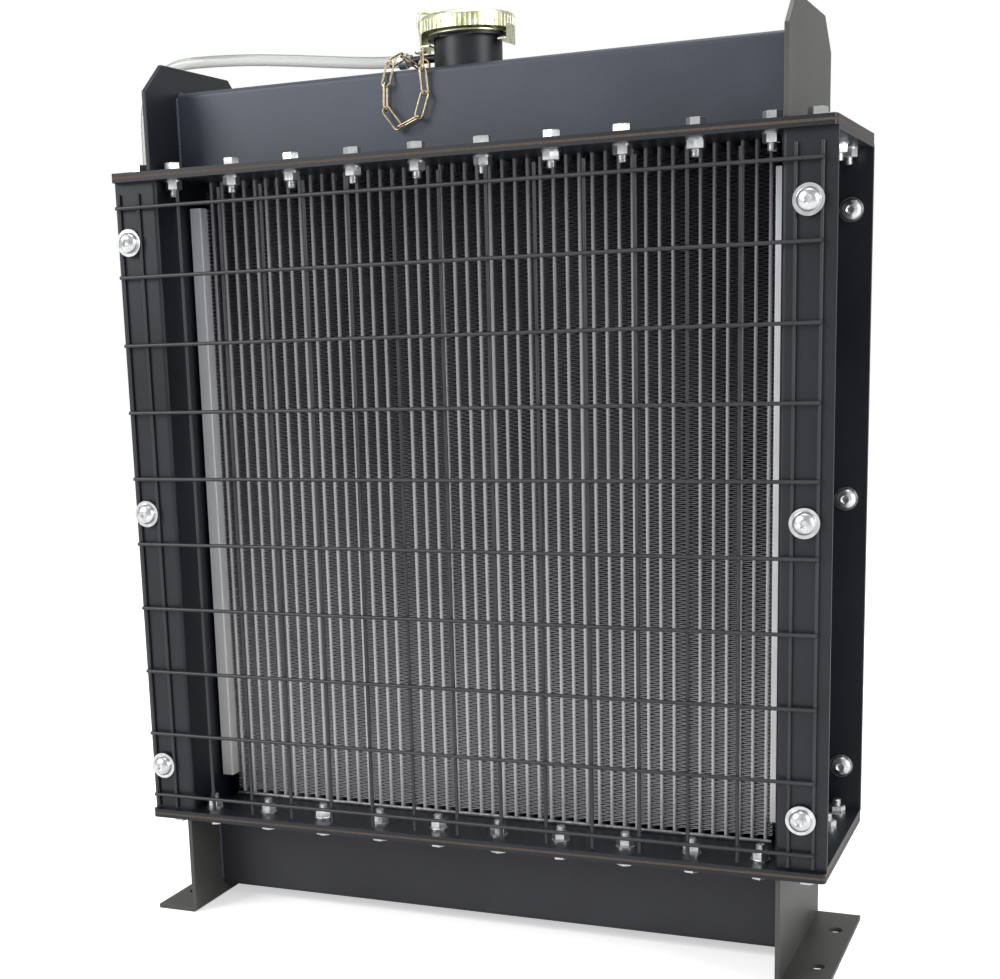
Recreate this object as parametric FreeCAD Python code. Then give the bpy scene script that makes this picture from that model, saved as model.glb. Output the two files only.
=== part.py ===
import FreeCAD, Part
import math
import os

from FreeCAD import Vector

os.makedirs("parts", exist_ok=True)

# Radiator with a bolted steel frame, a wire guard in front and a fan shroud behind.
# Millimetres. X runs across the core, Y from the guard (front, minus) to the shroud
# (back, plus), Z up. The origin is on the ground under the middle of the overall box.

# Driving dimensions: frame and flanges
flange_width = 630.0
flange_depth = 184.0
flange_sheet = 3.0
gasket_thickness = 2.0
header_sheet = 3.0
core_height = 576.0
foot_height = 93.0
flange_corner = 4.0

channel_depth = 175.0
channel_lip = 39.0
channel_sheet = 3.0
channel_set_back = 7.0
channel_bend = 4.0

# Tanks and the plates that close their ends
tank_depth = 74.0
tank_sheet = 2.5
top_tank_height = 70.0
tank_edge_radius = 5.0
end_plate_sheet = 4.0
end_plate_inset = 36.0
end_plate_height = 92.0
end_plate_depth = 178.0
end_chamfer_depth = 30.0
end_chamfer_height = 25.0
bottom_tank_ground_gap = 12.0

foot_lip = 38.0
foot_sheet = 4.0
foot_hole_radius = 6.0
foot_hole_inset = 15.0
foot_hole_spacing = 90.0

# Core
tube_spacing = 11.25
tube_rows = 3
tube_row_pitch = 17.0
tube_depth = 14.0
tube_width = 3.0
tube_wall = 0.35
tube_end_reach = 2.5
fin_end_gap = 14.0
fin_recess = 1.5
solder_gap = 0.05

core_side_gap = 3.25
side_plate_end_gap = 22.0
side_plate_depth = 68.0
side_plate_lip = 11.0
side_plate_sheet = 1.5

# Wire guard
wire_radius = 1.6
guard_edge_gap = 7.5
guard_rows = 10
guard_row_pitch = 60.0
guard_columns_each_side = 7
guard_end_column_gap = 19.8
guard_side_shift = -3.5
guard_top_gap = 22.0
guard_end_overhang = 12.0
weld_gap = 0.02

# Fasteners, M8
bolt_radius = 4.0
bolt_hole_radius = 4.5
thread_clearance = 0.05
hex_across_flats = 13.0
hex_height = 6.0
bolt_flange_radius = 9.0
bolt_flange_height = 1.4
washer_radius = 8.0
washer_thickness = 1.6
big_washer_radius = 12.0
big_washer_thickness = 2.0
button_radius = 9.5
button_height = 6.0
nut_height = 6.5
thread_past_nut = 6.0

flange_bolt_edge = 22.0
front_bolts = 10
top_bolt_inset = 51.75
bottom_bolt_inset = 56.25
side_bolt_inset = 18.0
side_bolts = 4

guard_bolt_inset = 9.5
guard_bolt_rows_down = (30.0, 272.0, 511.0)

# Fan shroud
shroud_sheet = 2.0
shroud_box_inset = 45.0
shroud_box_height = 540.0
shroud_box_depth = 26.0
shroud_flange_gap = 2.0
fan_edge_gap = 30.0
shroud_ring_depth = 24.0
shroud_ring_sheet = 2.0

# Filler neck and cap
neck_x = -8.0
neck_radius = 29.0
neck_wall = 2.0
neck_height = 26.0
neck_rim_radius = 34.0
neck_rim_sheet = 2.0
neck_seat_radius = 19.0
neck_seat_height = 5.0
rim_notch_half_width = 15.0

cap_radius = 40.0
cap_sheet = 1.5
cap_height = 13.5
cap_over_rim = 3.5
cap_crown_radius = 27.0
cap_dish_radius = 22.0
cap_dish_depth = 12.0
cap_tab_half_width = 12.0
cap_tab_drop = 12.5
cap_hook_reach = 9.0
cap_rise = 2.5
cap_running_gap = 0.3
cap_knurls = 60
knurl_radius = 1.1

bell_radius = 33.5
bell_sheet = 1.2
bell_tube_radius = 22.0
bell_tube_drop = 13.0
top_seal_thickness = 1.2
rivet_radius = 3.0
rivet_head_radius = 6.0
rivet_head_height = 1.6

valve_seal_thickness = 2.0
valve_seal_radius = 23.5
valve_plate_radius = 24.0
valve_plate_sheet = 1.5
valve_hole_radius = 4.5
vacuum_disc_radius = 7.0
vacuum_disc_sheet = 1.2
vacuum_stem_radius = 1.5
vacuum_stem_height = 7.5
vacuum_cap_radius = 3.5
spring_wire = 2.0
spring_radius = 16.0
spring_turns = 3.5
small_spring_wire = 0.6
small_spring_radius = 2.6
small_spring_turns = 4.0
coil_steps = 10
coil_arc_share = 0.9
seat_gap = 0.1

# Chain and the wire arm that ties it to the cap
arm_wire = 1.3
arm_eye_wire = 1.1
arm_foot_sheet = 3.2
arm_angle = 220.0
arm_clear = 2.2
arm_eye_radius = 4.0
chain_wire = 0.9
chain_length = 24.0
chain_width = 8.6
chain_play = 0.8
staple_wire = 1.25
staple_radius = 4.5
staple_leg = 6.5

# Overflow nipple and hose
nipple_height = 12.0
nipple_radius = 3.5
nipple_bore = 2.2
nipple_length = 23.0
hose_radius = 5.0
hose_clip_width = 7.0
hose_clip_sheet = 1.2
hose_clip_gap = 0.4

# Coolant pipes and drain cock
pipe_radius = 24.0
pipe_wall = 2.0
pipe_length = 79.5
pipe_end_gap = 105.0
drain_end_gap = 85.0
drain_height = 20.0
drain_key_gap = 0.3
drain_body_radius = 8.0
drain_body_length = 24.0
drain_spigot_radius = 5.0
drain_spigot_length = 14.0
drain_boss_radius = 7.5
drain_boss_drop = 10.0
drain_stem_radius = 4.0
drain_stem_gap = 0.05
drain_key_half_width = 14.0
drain_key_height = 10.0
drain_key_sheet = 3.0

# Levels that follow
bottom_flange_z = foot_height
bottom_gasket_z = bottom_flange_z + flange_sheet
bottom_header_z = bottom_gasket_z + gasket_thickness
core_low_z = bottom_header_z + header_sheet
core_high_z = core_low_z + core_height
top_gasket_z = core_high_z + header_sheet
top_flange_z = top_gasket_z + gasket_thickness
top_tank_z = top_flange_z + flange_sheet
tank_top_z = top_tank_z + top_tank_height
stack_thickness = flange_sheet + gasket_thickness + header_sheet

# Places front to back that follow. The box is centred on Y = 0.
guard_bolt_reach = 2 * wire_radius + big_washer_thickness + button_height
shroud_reach = shroud_sheet + shroud_box_depth + shroud_ring_depth
behind_tank = channel_depth + channel_set_back - flange_depth / 2 - tank_depth / 2
pipe_reach = pipe_length - behind_tank
back_reach = max(shroud_reach, pipe_reach)
channel_front = (guard_bolt_reach - back_reach - channel_depth) / 2
channel_back = channel_front + channel_depth
frame_front = channel_front - channel_set_back
frame_back = frame_front + flange_depth
mid_y = (frame_front + frame_back) / 2
tank_front = mid_y - tank_depth / 2
tank_back = mid_y + tank_depth / 2
plate_front = mid_y - end_plate_depth / 2
plate_back = mid_y + end_plate_depth / 2

half_flange = flange_width / 2
half_span = half_flange - end_plate_inset
tank_half_length = half_span - end_plate_sheet
channel_web_out = half_flange - channel_lip
channel_web_in = channel_web_out - channel_sheet
core_half_width = channel_web_in - core_side_gap - side_plate_lip
tube_columns = round(2 * core_half_width / tube_spacing)
tube_pitch = 2 * core_half_width / tube_columns
core_depth = (tube_rows - 1) * tube_row_pitch + tube_depth
core_front = mid_y - core_depth / 2

top_bolt_pitch = (flange_width - 2 * top_bolt_inset) / (front_bolts - 1)
bottom_bolt_pitch = (flange_width - 2 * bottom_bolt_inset) / (front_bolts - 1)
guard_width = flange_width - 2 * guard_edge_gap
guard_column_pitch = (guard_width / 2 - guard_end_column_gap) / guard_columns_each_side
guard_bolt_half_span = guard_width / 2 - guard_bolt_inset
shroud_box_width = flange_width - 2 * shroud_box_inset
fan_radius = min(shroud_box_width, shroud_box_height) / 2 - fan_edge_gap
inlet_x = tank_half_length - pipe_end_gap
outlet_x = -inlet_x
drain_x = tank_half_length - drain_end_gap

neck_low_z = tank_top_z - tank_sheet
neck_rim_z = tank_top_z + neck_height
cap_low_z = neck_rim_z + cap_over_rim
cap_top_z = cap_low_z + cap_height
neck_axis = Vector(neck_x, mid_y, 0)


def save(name, shapes):
    """Write one sub-part, a single solid or a group of separate ones."""
    if not isinstance(shapes, (list, tuple)):
        shapes = [shapes]
    solids = [solid for shape in shapes for solid in shape.Solids]
    whole = solids[0] if len(solids) == 1 else Part.makeCompound(solids)
    whole.exportStep("parts/" + name + ".step")


def box(x0, x1, y0, y1, z0, z1):
    """A box between two corners."""
    return Part.makeBox(x1 - x0, y1 - y0, z1 - z0, Vector(x0, y0, z0))


def rod(x, y, z, radius, length, way=Vector(0, 0, 1)):
    """A round bar that starts at a point and runs one way."""
    return Part.makeCylinder(radius, length, Vector(x, y, z), way)


def ring(x, y, z, outer, inner, length, way=Vector(0, 0, 1)):
    """A round bar with a hole through it."""
    return rod(x, y, z, outer, length, way).cut(rod(x, y, z, inner, length, way))


def hexagon(x, y, z, across, height, way=Vector(0, 0, 1)):
    """A hexagonal prism, with its flats that far across."""
    corner = across / math.sqrt(3)
    points = [Vector(corner * math.cos(math.radians(60 * k)), corner * math.sin(math.radians(60 * k)), 0)
              for k in range(7)]
    prism = Part.Face(Part.makePolygon(points)).extrude(Vector(0, 0, height))
    prism.Placement = FreeCAD.Placement(Vector(x, y, z), FreeCAD.Rotation(Vector(0, 0, 1), way))
    return prism


def circle_wire(x, y, z, radius):
    """A closed circle in a level plane."""
    return Part.Wire(Part.makeCircle(radius, Vector(x, y, z)))


def slot_wire(x, y, z, width, depth):
    """A closed slot in a level plane, long front to back, with round ends."""
    r = width / 2
    low = Vector(x, y - depth / 2 + r, z)
    high = Vector(x, y + depth / 2 - r, z)
    side = Vector(r, 0, 0)
    end = Vector(0, r, 0)
    edges = [Part.LineSegment(low + side, high + side).toShape(),
             Part.Arc(high + side, high + end, high - side).toShape(),
             Part.LineSegment(high - side, low - side).toShape(),
             Part.Arc(low - side, low - end, low + side).toShape()]
    return Part.Wire(edges)


def rectangle_wire(x0, x1, y0, y1, z, corner=0.0):
    """A closed rectangle in a level plane, with round corners where asked."""
    sheet = Part.makePlane(x1 - x0, y1 - y0, Vector(x0, y0, z))
    if corner <= 0:
        return sheet.OuterWire
    block = sheet.extrude(Vector(0, 0, 1))
    upright = [e for e in block.Edges if abs(e.BoundBox.ZLength - 1) < 0.01 and e.BoundBox.XLength < 0.01]
    rounded = block.makeFillet(corner, upright)
    low = min(rounded.Faces, key=lambda f: f.CenterOfMass.z)
    return low.OuterWire


def pierced_plate(outline, holes, thickness):
    """A level sheet with holes through it."""
    face = Part.Face(Part.Wire(outline.Edges))
    plate = face.extrude(Vector(0, 0, thickness))
    bore = [Part.Face(wire).extrude(Vector(0, 0, thickness)) for wire in holes]
    return plate.cut(Part.makeCompound(bore)) if bore else plate


def revolve_profile(points, axis_point):
    """Turn a closed (radius, height) outline about an upright axis."""
    corners = [axis_point + Vector(r, 0, z) for r, z in points]
    face = Part.Face(Part.makePolygon(corners + corners[:1]))
    return face.revolve(axis_point, Vector(0, 0, 1), 360)


def rounded_path(points, radius):
    """Straight runs joined by tangent arcs, all of one radius."""
    edges = []
    start = points[0]
    for before, corner, after in zip(points, points[1:], points[2:]):
        back = (before - corner).normalize()
        ahead = (after - corner).normalize()
        half_turn = (math.pi - back.getAngle(ahead)) / 2
        cut = radius * math.tan(half_turn)
        first = corner + back * cut
        last = corner + ahead * cut
        inward = (back + ahead).normalize()
        middle = corner + inward * (radius / math.cos(half_turn) - radius)
        edges.append(Part.LineSegment(start, first).toShape())
        edges.append(Part.Arc(first, middle, last).toShape())
        start = last
    edges.append(Part.LineSegment(start, points[-1]).toShape())
    return Part.Wire(edges)


def pipe_along(path, radius):
    """A round bar swept along a path of lines and arcs."""
    edge = path.Edges[0]
    start = edge.valueAt(edge.FirstParameter)
    way = edge.tangentAt(edge.FirstParameter)
    section = Part.Wire(Part.makeCircle(radius, start, way))
    return path.makePipeShell([section], True, True)


# Bolt places


def flange_bolt_places(pitch):
    """Bolt places round a flange: both long rows, then the two short sides."""
    places = []
    for y in (frame_front + flange_bolt_edge, frame_back - flange_bolt_edge):
        for k in range(front_bolts):
            places.append(((k - (front_bolts - 1) / 2) * pitch, y))
    side_step = (flange_depth - 2 * flange_bolt_edge) / (side_bolts - 1)
    for side in (-1, 1):
        for k in range(side_bolts):
            y = frame_front + flange_bolt_edge + k * side_step
            places.append((side * (half_flange - side_bolt_inset), y))
    return places


top_bolts = flange_bolt_places(top_bolt_pitch)
bottom_bolts = flange_bolt_places(bottom_bolt_pitch)
side_bolt_places = [place for place in top_bolts if abs(place[0]) > channel_web_out]


def flanged_bolt(x, y, z, grip, up):
    """A bolt whose flanged head sits on the plate at z and whose shank runs the other way."""
    way = Vector(0, 0, 1 if up else -1)
    seat = Vector(x, y, z)
    head = hexagon(x, y, z, hex_across_flats, bolt_flange_height + hex_height, way)
    rim = Part.makeCylinder(bolt_flange_radius, bolt_flange_height, seat, way)
    shank = Part.makeCylinder(bolt_radius, grip, seat, way * -1)
    return head.fuse([rim, shank]).removeSplitter()


def nut(x, y, z, way):
    """A plain nut with its inner face at the given point."""
    blank = hexagon(x, y, z, hex_across_flats, nut_height, way)
    return blank.cut(rod(x, y, z, bolt_radius + thread_clearance, nut_height, way))


def washer(x, y, z, radius, thickness, way):
    """A flat washer."""
    return ring(x, y, z, radius, bolt_hole_radius, thickness, way)


def button_bolt(x, y, z, grip, way):
    """A domed bolt head standing out along way, with its shank behind it."""
    drop = button_height * 0.35
    sphere_radius = (button_radius ** 2 + (button_height - drop) ** 2) / (2 * (button_height - drop))
    centre = Vector(x, y, z) + way * (button_height - sphere_radius)
    dome = Part.makeSphere(sphere_radius, centre)
    head = rod(x, y, z, button_radius, button_height, way).common(dome)
    return head.fuse(rod(x, y, z, bolt_radius, grip, way * -1)).removeSplitter()


# Tank flanges, gaskets and header plates


def bolt_hole_wires(places, z):
    """The clearance holes of a bolt pattern."""
    return [circle_wire(x, y, z, bolt_hole_radius) for x, y in places]


def tank_mouth(z):
    """The opening of a tank, inside its walls."""
    return rectangle_wire(-tank_half_length, tank_half_length, tank_front + tank_sheet, tank_back - tank_sheet, z)


def frame_outline(z):
    """The outline that every sheet of the flange stack shares."""
    return rectangle_wire(-half_flange, half_flange, frame_front, frame_back, z, flange_corner)


tube_places = [((i - (tube_columns - 1) / 2) * tube_pitch, mid_y + (j - (tube_rows - 1) / 2) * tube_row_pitch)
               for i in range(tube_columns) for j in range(tube_rows)]


def tube_slots(z):
    """The slots of a header plate that the tubes are soldered into."""
    width = tube_width + 2 * solder_gap
    depth = tube_depth + 2 * solder_gap
    return [slot_wire(x, y, z, width, depth) for x, y in tube_places]


for end, places, flange_z, gasket_z, header_z in (
        ("top", top_bolts, top_flange_z, top_gasket_z, core_high_z),
        ("bottom", bottom_bolts, bottom_flange_z, bottom_gasket_z, bottom_header_z)):
    flange_holes = bolt_hole_wires(places, flange_z) + [tank_mouth(flange_z)]
    save(end + "_tank_flange", pierced_plate(frame_outline(flange_z), flange_holes, flange_sheet))
    gasket_holes = bolt_hole_wires(places, gasket_z) + [tank_mouth(gasket_z)]
    save(end + "_gasket", pierced_plate(frame_outline(gasket_z), gasket_holes, gasket_thickness))
    header_holes = bolt_hole_wires(places, header_z) + tube_slots(header_z)
    save(end + "_header_plate", pierced_plate(frame_outline(header_z), header_holes, header_sheet))

# Flange bolts: heads outside on the tank flanges, washers and nuts on the header plates

stack_grip = stack_thickness + channel_sheet + washer_thickness + nut_height + thread_past_nut


def tab_thickness(x):
    """The channel's end tab lies under the nuts of the two short sides."""
    return channel_sheet if abs(x) > channel_web_out else 0.0


save("top_flange_bolts", [flanged_bolt(x, y, top_tank_z, stack_grip, True) for x, y in top_bolts])
save("bottom_flange_bolts", [flanged_bolt(x, y, bottom_flange_z, stack_grip, False) for x, y in bottom_bolts])
save("top_flange_washers", [washer(x, y, core_high_z - tab_thickness(x), washer_radius, washer_thickness,
                                   Vector(0, 0, -1)) for x, y in top_bolts])
save("bottom_flange_washers", [washer(x, y, core_low_z + tab_thickness(x), washer_radius, washer_thickness,
                                      Vector(0, 0, 1)) for x, y in bottom_bolts])
save("top_flange_nuts", [nut(x, y, core_high_z - tab_thickness(x) - washer_thickness, Vector(0, 0, -1))
                         for x, y in top_bolts])
save("bottom_flange_nuts", [nut(x, y, core_low_z + tab_thickness(x) + washer_thickness, Vector(0, 0, 1))
                            for x, y in bottom_bolts])

# Core: flat tubes in rows, fin strips between the columns, a plate down each side

tube_low = bottom_header_z - tube_end_reach
tube_length = core_high_z + header_sheet + tube_end_reach - tube_low


def flat_tube(x, y):
    """One soldered flat tube."""
    outer = Part.Face(slot_wire(x, y, tube_low, tube_width, tube_depth))
    inner = Part.Face(slot_wire(x, y, tube_low, tube_width - 2 * tube_wall, tube_depth - 2 * tube_wall))
    return outer.cut(inner).extrude(Vector(0, 0, tube_length))


save("core_tubes", [flat_tube(x, y) for x, y in tube_places])

fin_low = core_low_z + fin_end_gap
fin_high = core_high_z - fin_end_gap
fin_front = core_front + fin_recess
fin_back = core_front + core_depth - fin_recess
column_edges = [(i - (tube_columns - 1) / 2) * tube_pitch for i in range(tube_columns)]
fin_gaps = [(-core_half_width, column_edges[0] - tube_width / 2)]
fin_gaps += [(a + tube_width / 2, b - tube_width / 2) for a, b in zip(column_edges, column_edges[1:])]
fin_gaps += [(column_edges[-1] + tube_width / 2, core_half_width)]
save("fin_strips", [box(a, b, fin_front, fin_back, fin_low, fin_high) for a, b in fin_gaps])


def core_side_plate(side):
    """A folded strip beside the outer fins, with its lips turned away from the core."""
    inner = core_half_width
    outer = inner + side_plate_lip
    front = mid_y - side_plate_depth / 2
    back = mid_y + side_plate_depth / 2
    low = core_low_z + side_plate_end_gap
    high = core_high_z - side_plate_end_gap
    blank = box(inner, outer, front, back, low, high)
    hollow = box(inner + side_plate_sheet, outer, front + side_plate_sheet, back - side_plate_sheet, low, high)
    plate = blank.cut(hollow)
    bends = [e for e in plate.Edges if e.BoundBox.ZLength > high - low - 1 and abs(e.CenterOfMass.x - inner) < 0.01]
    plate = plate.makeFillet(side_plate_sheet * 0.9, bends)
    return plate if side > 0 else plate.mirror(Vector(0, 0, 0), Vector(1, 0, 0))


save("core_side_plate_left", core_side_plate(-1))
save("core_side_plate_right", core_side_plate(1))

# Side channels: web beside the core, lips turned outwards, a tab at each end for the bolts

guard_top_z = core_high_z - guard_top_gap
guard_bolt_levels = [guard_top_z - down for down in guard_bolt_rows_down]


def side_channel(side):
    """One side of the frame, with the holes of the guard, the shroud and the flange bolts."""
    web = channel_web_in
    blank = box(web, half_flange, channel_front, channel_back, core_low_z, core_high_z)
    hollow = box(channel_web_out, half_flange, channel_front + channel_sheet, channel_back - channel_sheet,
                 core_low_z + channel_sheet, core_high_z - channel_sheet)
    body = blank.cut(hollow)
    bends = [e for e in body.Edges
             if e.BoundBox.ZLength > core_height - 1 and abs(e.CenterOfMass.x - web) < 0.01]
    body = body.makeFillet(channel_bend, bends)
    holes = [rod(abs(x), y, z, bolt_hole_radius, channel_sheet)
             for x, y in side_bolt_places if x > 0
             for z in (core_low_z, core_high_z - channel_sheet)]
    for z in guard_bolt_levels:
        guard_x = guard_bolt_half_span + side * guard_side_shift
        holes.append(rod(guard_x, channel_front, z, bolt_hole_radius, channel_sheet, Vector(0, 1, 0)))
        holes.append(rod(guard_bolt_half_span, channel_back - channel_sheet, z, bolt_hole_radius,
                         channel_sheet, Vector(0, 1, 0)))
    body = body.cut(Part.makeCompound(holes))
    return body if side > 0 else body.mirror(Vector(0, 0, 0), Vector(1, 0, 0))


save("side_channel_left", side_channel(-1))
save("side_channel_right", side_channel(1))

# Guard: upright wires against the channels, level wires welded in front of them

upright_y = channel_front - wire_radius
level_y = upright_y - 2 * wire_radius - weld_gap
guard_left = guard_side_shift - guard_width / 2
guard_low_z = guard_top_z - (guard_rows - 1) * guard_row_pitch
upright_x = [guard_side_shift + k * guard_column_pitch
             for k in range(-guard_columns_each_side, guard_columns_each_side + 1)]
upright_x += [guard_left, guard_left + guard_width]
save("guard_upright_wires", [rod(x, upright_y, guard_low_z - guard_end_overhang, wire_radius,
                                 guard_top_z - guard_low_z + 2 * guard_end_overhang) for x in upright_x])
save("guard_level_wires", [rod(guard_left - wire_radius, level_y, guard_top_z - k * guard_row_pitch, wire_radius,
                               guard_width + 2 * wire_radius, Vector(1, 0, 0)) for k in range(guard_rows)])

guard_grip = (big_washer_thickness + 2 * wire_radius + channel_sheet + washer_thickness
              + nut_height + thread_past_nut)
guard_seat = channel_front - 2 * wire_radius - big_washer_thickness
guard_places = [(guard_side_shift + side * guard_bolt_half_span, z) for side in (-1, 1) for z in guard_bolt_levels]
forward = Vector(0, -1, 0)
backward = Vector(0, 1, 0)
save("guard_bolts", [button_bolt(x, guard_seat, z, guard_grip, forward) for x, z in guard_places])
save("guard_washers", [washer(x, guard_seat, z, big_washer_radius, big_washer_thickness, backward)
                       for x, z in guard_places])
save("guard_nuts", [nut(x, channel_front + channel_sheet, z, backward) for x, z in guard_places])

# Fan shroud behind the channels: flange, shallow box, back panel and a rolled ring

shroud_mid_z = (core_low_z + core_high_z) / 2
shroud_low_z = core_low_z + shroud_flange_gap
shroud_high_z = core_high_z - shroud_flange_gap
panel_back = channel_back + shroud_sheet + shroud_box_depth
half_box = shroud_box_width / 2
box_low_z = shroud_mid_z - shroud_box_height / 2
box_high_z = shroud_mid_z + shroud_box_height / 2


def fan_shroud():
    """The folded sheet of the shroud, one piece with its flange and back panel."""
    flange = box(-half_flange, half_flange, channel_back, channel_back + shroud_sheet, shroud_low_z, shroud_high_z)
    shell = box(-half_box, half_box, channel_back, panel_back, box_low_z, box_high_z)
    corners = [e for e in shell.Edges if e.BoundBox.YLength > 1]
    shell = shell.makeFillet(4 * shroud_sheet, corners)
    rim = [e for e in shell.Edges if abs(e.CenterOfMass.y - panel_back) < 0.01]
    shell = shell.makeFillet(2 * shroud_sheet, rim)
    inside = box(-half_box + shroud_sheet, half_box - shroud_sheet, channel_back, panel_back - shroud_sheet,
                 box_low_z + shroud_sheet, box_high_z - shroud_sheet)
    body = flange.fuse(shell).cut(inside)
    mouth = rod(0, channel_back, shroud_mid_z, fan_radius, shroud_box_depth * 2, backward)
    holes = [rod(side * guard_bolt_half_span, channel_back, z, bolt_hole_radius, shroud_sheet, backward)
             for side in (-1, 1) for z in guard_bolt_levels]
    return body.cut([mouth] + holes).removeSplitter()


save("fan_shroud", fan_shroud())
shroud_ring = ring(0, panel_back - shroud_sheet, shroud_mid_z, fan_radius, fan_radius - shroud_ring_sheet,
                   shroud_ring_depth + shroud_sheet, backward)
save("shroud_ring", shroud_ring)

shroud_places = [(side * guard_bolt_half_span, z) for side in (-1, 1) for z in guard_bolt_levels]
shroud_seat = channel_back - channel_sheet - washer_thickness
shroud_grip = 2 * washer_thickness + channel_sheet + shroud_sheet + nut_height + thread_past_nut
save("shroud_bolts", [button_bolt(x, shroud_seat, z, shroud_grip, forward) for x, z in shroud_places])
save("shroud_washers", [washer(x, y, z, washer_radius * 1.25, washer_thickness, backward)
                        for x, z in shroud_places for y in (shroud_seat, channel_back + shroud_sheet)])
save("shroud_nuts", [nut(x, channel_back + shroud_sheet + washer_thickness, z, backward)
                     for x, z in shroud_places])

# Tanks: folded U of sheet between two end plates


def tank_shell(low, high, open_low):
    """Front, back and closed side of a tank; the end plates and the flange close the rest."""
    shell = box(-tank_half_length, tank_half_length, tank_front, tank_back, low, high)
    closed_z = high if open_low else low
    bends = [e for e in shell.Edges
             if e.BoundBox.XLength > tank_half_length and abs(e.CenterOfMass.z - closed_z) < 0.01]
    shell = shell.makeFillet(tank_edge_radius, bends)
    cut_low = low if open_low else low + tank_sheet
    cut_high = high - tank_sheet if open_low else high
    inside = box(-tank_half_length, tank_half_length, tank_front + tank_sheet, tank_back - tank_sheet,
                 cut_low, cut_high)
    return shell.cut(inside)


bottom_tank_low = bottom_tank_ground_gap
top_tank = tank_shell(top_tank_z, tank_top_z, True)
top_tank_mid_z = (top_tank_z + tank_top_z) / 2
bottom_tank_mid_z = (bottom_tank_low + bottom_flange_z) / 2
neck_bore = rod(neck_x, mid_y, neck_low_z, neck_radius, tank_sheet)
inlet_hole = rod(inlet_x, tank_back - tank_sheet, top_tank_mid_z, pipe_radius - pipe_wall,
                 tank_sheet, backward)
save("top_tank_shell", top_tank.cut([neck_bore, inlet_hole]))

bottom_tank = tank_shell(bottom_tank_low, bottom_flange_z, False)
outlet_hole = rod(outlet_x, tank_back - tank_sheet, bottom_tank_mid_z, pipe_radius - pipe_wall,
                  tank_sheet, backward)
drain_z = bottom_tank_low + drain_height
drain_hole = rod(drain_x, tank_back - tank_sheet, drain_z, drain_body_radius, tank_sheet, backward)
save("bottom_tank_shell", bottom_tank.cut([outlet_hole, drain_hole]))


def top_end_plate(side):
    """A plate with cut corners that closes one end of the top tank and stands above it."""
    high = top_tank_z + end_plate_height
    outline = [Vector(0, plate_front, top_tank_z), Vector(0, plate_back, top_tank_z),
               Vector(0, plate_back, high - end_chamfer_height), Vector(0, plate_back - end_chamfer_depth, high),
               Vector(0, plate_front + end_chamfer_depth, high), Vector(0, plate_front, high - end_chamfer_height)]
    plate = Part.Face(Part.makePolygon(outline + outline[:1])).extrude(Vector(end_plate_sheet, 0, 0))
    inner = tank_half_length if side > 0 else -half_span
    return plate.translated(Vector(inner, 0, 0))


save("top_end_plate_left", top_end_plate(-1))
save("top_end_plate_right", top_end_plate(1))


def foot_bracket(side):
    """The folded plate that closes one end of the bottom tank and turns out into a foot."""
    inner = tank_half_length
    outer = half_span + foot_lip
    upright = box(inner, half_span, plate_front, plate_back, 0, bottom_flange_z)
    foot = box(inner, outer, plate_front, plate_back, 0, foot_sheet)
    bracket = upright.fuse(foot).removeSplitter()
    corner = [e for e in bracket.Edges
              if e.BoundBox.YLength > 1 and abs(e.CenterOfMass.x - inner) < 0.01 and e.CenterOfMass.z < 0.01]
    bracket = bracket.makeFillet(foot_sheet, corner)
    holes = [rod(outer - foot_hole_inset, mid_y + k * foot_hole_spacing / 2, 0, foot_hole_radius, foot_sheet)
             for k in (-1, 1)]
    bracket = bracket.cut(Part.makeCompound(holes))
    return bracket if side > 0 else bracket.mirror(Vector(0, 0, 0), Vector(1, 0, 0))


save("foot_bracket_left", foot_bracket(-1))
save("foot_bracket_right", foot_bracket(1))

# Coolant pipes, welded on the back wall round the holes of the two tanks


def coolant_pipe(x, z):
    """A pipe stub standing on the back wall of a tank."""
    return ring(x, tank_back, z, pipe_radius, pipe_radius - pipe_wall, pipe_length, backward)


save("inlet_pipe", coolant_pipe(inlet_x, top_tank_mid_z))
save("outlet_pipe", coolant_pipe(outlet_x, bottom_tank_mid_z))

# Drain cock low on the back of the bottom tank, turned by a flat key

drain_start = tank_back - tank_sheet
drain_end = drain_start + drain_body_length
spigot_at = drain_start + drain_body_length / 2
drain_body = rod(drain_x, drain_start, drain_z, drain_body_radius, drain_body_length, backward)
drain_boss = rod(drain_x, spigot_at, drain_z, drain_boss_radius, drain_boss_drop, Vector(0, 0, -1))
drain_spigot = rod(drain_x, spigot_at, drain_z, drain_spigot_radius,
                   drain_boss_drop + drain_spigot_length, Vector(0, 0, -1))
drain_bore = rod(drain_x, drain_start, drain_z, drain_stem_radius + drain_stem_gap,
                 drain_body_length, backward)
spigot_bore = rod(drain_x, spigot_at, drain_z, drain_spigot_radius - pipe_wall,
                  drain_boss_drop + drain_spigot_length, Vector(0, 0, -1))
save("drain_cock_body", drain_body.fuse([drain_boss, drain_spigot]).cut([drain_bore, spigot_bore]))

key_y = drain_end + drain_key_gap
drain_stem = rod(drain_x, drain_start + tank_sheet, drain_z, drain_stem_radius,
                 key_y - drain_start - tank_sheet + drain_key_sheet, backward)
key_bar = box(drain_x - drain_key_half_width, drain_x + drain_key_half_width, key_y, key_y + drain_key_sheet,
              drain_z - drain_key_height / 2, drain_z + drain_key_height / 2)
key_corners = [e for e in key_bar.Edges if e.BoundBox.YLength > 1]
key_bar = key_bar.makeFillet(drain_key_height * 0.4, key_corners)
save("drain_cock_key", key_bar.fuse(drain_stem).removeSplitter())

# Filler neck: tube with a seat for the valve and a rim that the cap hooks under


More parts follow.
